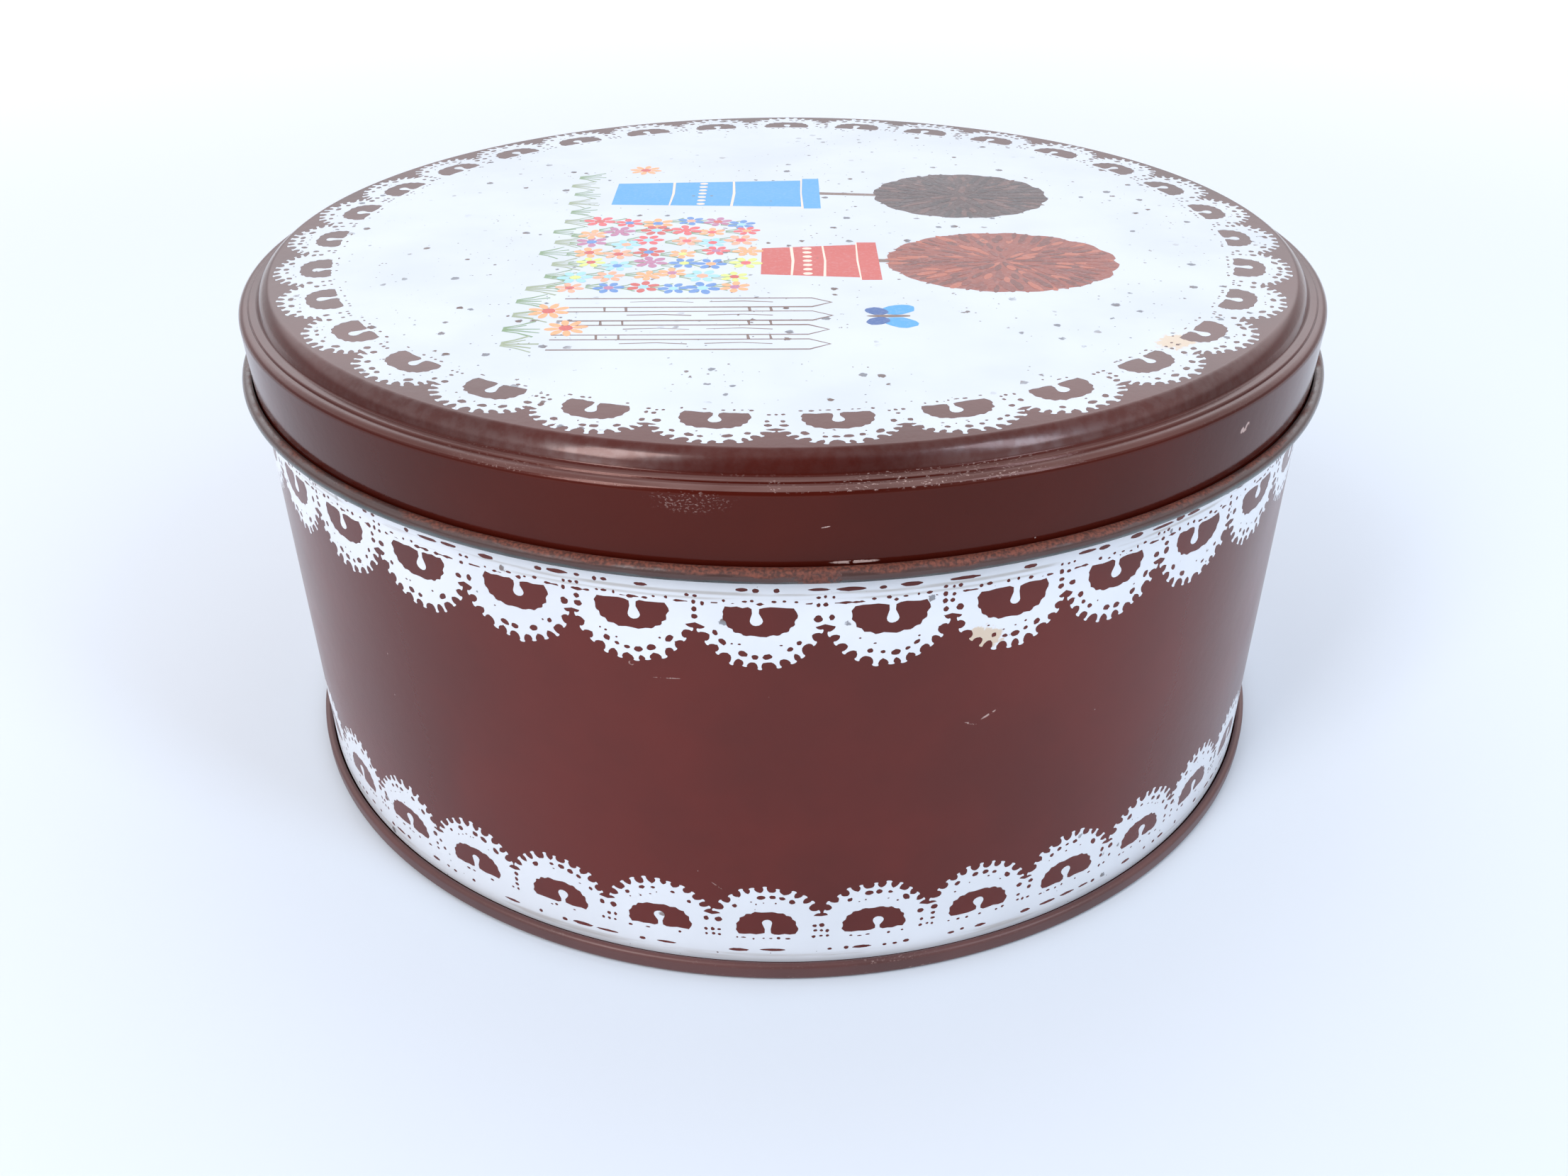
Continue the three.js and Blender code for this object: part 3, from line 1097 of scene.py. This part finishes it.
inner_tin = tinplate("inner_tin", TINS, 0.26)
curled_tin = tinplate("curled_tin", CURL_TINS, 0.14, curl_rust)
lid_brown = lacquer("lid_lacquer", LID_BROWNS, 0.13, 1.38, LID_TINT, SKIRT_MARKS, polish=shoulder_polish)
wall_brown = lacquer("wall_lacquer", WALL_BROWNS, 0.2, 1.48, WALL_TINT, WALL_MARKS, bare=above_print)
end_brown = lacquer("end_lacquer", END_BROWNS, 0.36, 1.5, WALL_TINT, END_MARKS, bare=inside_seam)
wall_white = white_print("wall_print", WALL_WHITES, LACE_MARKS, 0.12, (1, 1, 1))
lid_white = white_print("lid_print", LID_WHITES, LID_MARKS, 0.5, (1, 1, 0))
inks = picture_ink("picture_ink")

dress(spin_sheet("lid_shell", lid_line(), lid_brown, curled_tin), "lid", "lid_lacquer", "lid")
dress(spin_sheet("wall_shell", wall_line(), inner_tin, wall_brown), "tin_body", "body_lacquer", "body_wall")
dress(spin_sheet("bottom_shell", end_line(), inner_tin, end_brown), "tin_body", "end_tinplate", "bottom_end")

WALL_ROUND = math.tau * WALL_R
upper = Lace(
    seed=7, scallops=34, around=WALL_ROUND, middle=-1.97,
    lobe_v=1.9 * MM, lobe_depth=7.9 * MM, notch=3.1 * MM, eye_depth=5.2 * MM, dash_v=-2.9 * MM,
)
lower = Lace(
    seed=17, scallops=35, around=WALL_ROUND, middle=-1.78,
    lobe_v=3.0 * MM, lobe_depth=6.8 * MM, notch=4.2 * MM, eye_depth=5.0 * MM, dash_v=-3.8 * MM,
)
border = Lace(
    seed=27, scallops=31, around=math.tau * LID_EYE_R, middle=5.1,
    lobe_v=4.0 * MM, lobe_depth=5.2 * MM, notch=5.0 * MM, eye_depth=5.4 * MM,
)
upper_print = lace_band("upper_lace_print", upper, UPPER_EYE_Z, -1, PRINT_TOP, wall_white)
dress(upper_print, "tin_body", "print_white")
lower_print = lace_band("lower_lace_print", lower, LOWER_EYE_Z, 1, SEAM_HEIGHT - 0.6 * MM, wall_white)
dress(lower_print, "tin_body", "print_white")
dress(lid_disc("lid_lace_print", border, lid_white), "lid", "print_white")
dress(Picture(41).garden("lid_picture_print", inks), "lid", "print_white")


def side_seam(name, material):
    """The bare soldered lap down the back of the wall, between the bottom seam and the lid."""
    low = SEAM_HEIGHT + 0.3 * MM
    high = RIM_TOP - RIM_CURL - 0.6 * MM
    steps = 24
    lap = [  # across and out from the wall, in millimetres
        (-2.2, 0.03), (-2.0, 0.06), (-0.5, 0.07), (-0.35, 0.16),
        (1.1, 0.17), (1.25, 0.06), (2.2, 0.05), (2.4, 0.03),
    ]
    section = lap + [(across, -0.02) for across, _ in reversed(lap)]
    points = []
    for k in range(steps + 1):
        z = low + (high - low) * k / steps
        for across, out in section:
            points.append(at_azimuth(BACK + across * MM / WALL_R, WALL_R - swage(z) + out * MM, z))
    ring = len(section)
    rings = [list(range(first, first + ring)) for first in range(0, len(points), ring)]
    faces = [rings[0], rings[-1]]
    for under, over in zip(rings, rings[1:]):
        faces += bridge(under, over)
    return finish_mesh(name, points, faces, [material])


dress(side_seam("side_seam", inner_tin), "tin_body", "bare_tin")


# ---------------------------------------------------------------- studio and camera

FLOOR_HALF = 4.0
FLOOR_NEAR = (0.71, 0.745, 0.80, 1)
FLOOR_FAR_PAINTED_LIGHT = (0.985, 0.985, 0.99, 1)
NEAR_END = 0.3  # the floor is painted paler from this distance, in metres, as painted light
FAR_START = 1.1  # to this one
SKY_COLOUR = (0.93, 0.95, 1.0, 1)
SKY_PARTS = [  # a direction, how far the sky leans to it at the start and the end, and the brightness at each
    ((0, 0, 1), 0.0, 0.9, 1.97, 0.86),  # dimmer overhead
    ((0, 0, 1), 0.18, 0.42, 0.28, 1.0),  # haze near the ground
    ((0, 1, 0), 0.2, 0.95, 1.0, 1.8),  # a glow behind the tin
    ((0, -0.83, 0.56), 0.80, 0.96, 1.0, 0.12),  # dim where the camera is held
]
LIGHT_AIM = (0, 0, 0.05)
CAMERA_PLACE = (0, -0.2643, 0.17955)
CAMERA_FALL = 0.5582  # how far below level it looks, in radians
CAMERA_ROLL = -0.0041
CAMERA_LENS = 30.92


def floor():
    """A plain floor, painted a little paler far from the tin as painted light."""
    mesh = bpy.data.meshes.new("floor")
    corners = [(-1, -1), (1, -1), (1, 1), (-1, 1)]
    mesh.from_pydata([(x * FLOOR_HALF, y * FLOOR_HALF, 0) for x, y in corners], [], [[0, 1, 2, 3]])
    s = Shader("pale_floor", Roughness=0.6, Specular_IOR_Level=0.2)
    s.join(s.surface, Base_Color=s.mix(s.step(s.radius, NEAR_END, FAR_START), FLOOR_NEAR, FLOOR_FAR_PAINTED_LIGHT))
    mesh.materials.append(s.material)
    new_object("floor", mesh)


def softbox(name, place, size, power, colour):
    """A tall soft light aimed at the middle of the tin."""
    light = bpy.data.lights.new(name, "AREA")
    light.shape = "RECTANGLE"
    light.size, light.size_y = size
    light.energy = power
    light.color = colour
    lamp = new_object(name, light)
    lamp.location = place
    aim = Vector(LIGHT_AIM) - Vector(place)
    lamp.rotation_euler = aim.to_track_quat("-Z", "Y").to_euler()


def sky():
    """A pale sky, brightest behind the tin and dim near the ground and where the camera is held."""
    world = bpy.data.worlds.new("studio")
    world.use_nodes = True
    nodes = world.node_tree.nodes
    links = world.node_tree.links
    direction = nodes.new("ShaderNodeTexCoord").outputs["Generated"]
    background = nodes["Background"]
    background.inputs["Color"].default_value = SKY_COLOUR
    strength = None
    for towards, *span in SKY_PARTS:
        lean = nodes.new("ShaderNodeVectorMath")
        lean.operation = "DOT_PRODUCT"
        links.new(direction, lean.inputs[0])
        lean.inputs[1].default_value = towards
        share = nodes.new("ShaderNodeMapRange")
        share.interpolation_type = "SMOOTHSTEP"
        links.new(lean.outputs["Value"], share.inputs[0])
        for socket, value in zip(share.inputs[1:5], span):
            socket.default_value = value
        product = nodes.new("ShaderNodeMath")
        product.operation = "MULTIPLY"
        product.inputs[0].default_value = 1.0
        if strength:
            links.new(strength, product.inputs[0])
        links.new(share.outputs[0], product.inputs[1])
        strength = product.outputs[0]
    links.new(strength, background.inputs["Strength"])
    bpy.context.scene.world = world


def camera():
    """A hand-held view from the front, a little above the tin."""
    lens = bpy.data.cameras.new("camera")
    lens.sensor_width = 36
    lens.lens = CAMERA_LENS
    view = new_object("camera", lens)
    tilt = Matrix.Rotation(math.pi / 2 - CAMERA_FALL, 4, "X")
    roll = Matrix.Rotation(CAMERA_ROLL, 4, "Z")
    view.matrix_world = Matrix.Translation(CAMERA_PLACE) @ tilt @ roll
    bpy.context.scene.camera = view
    bpy.context.scene.view_settings.view_transform = "Standard"


floor()
sky()
softbox("left_softbox", (-0.62, -0.76, 0.88), (0.3, 0.7), 7.2, (0.94, 0.97, 1.0))
softbox("right_softbox", (0.78, -0.6, 0.88), (0.24, 0.7), 5.2, (0.66, 0.82, 1.0))
camera()
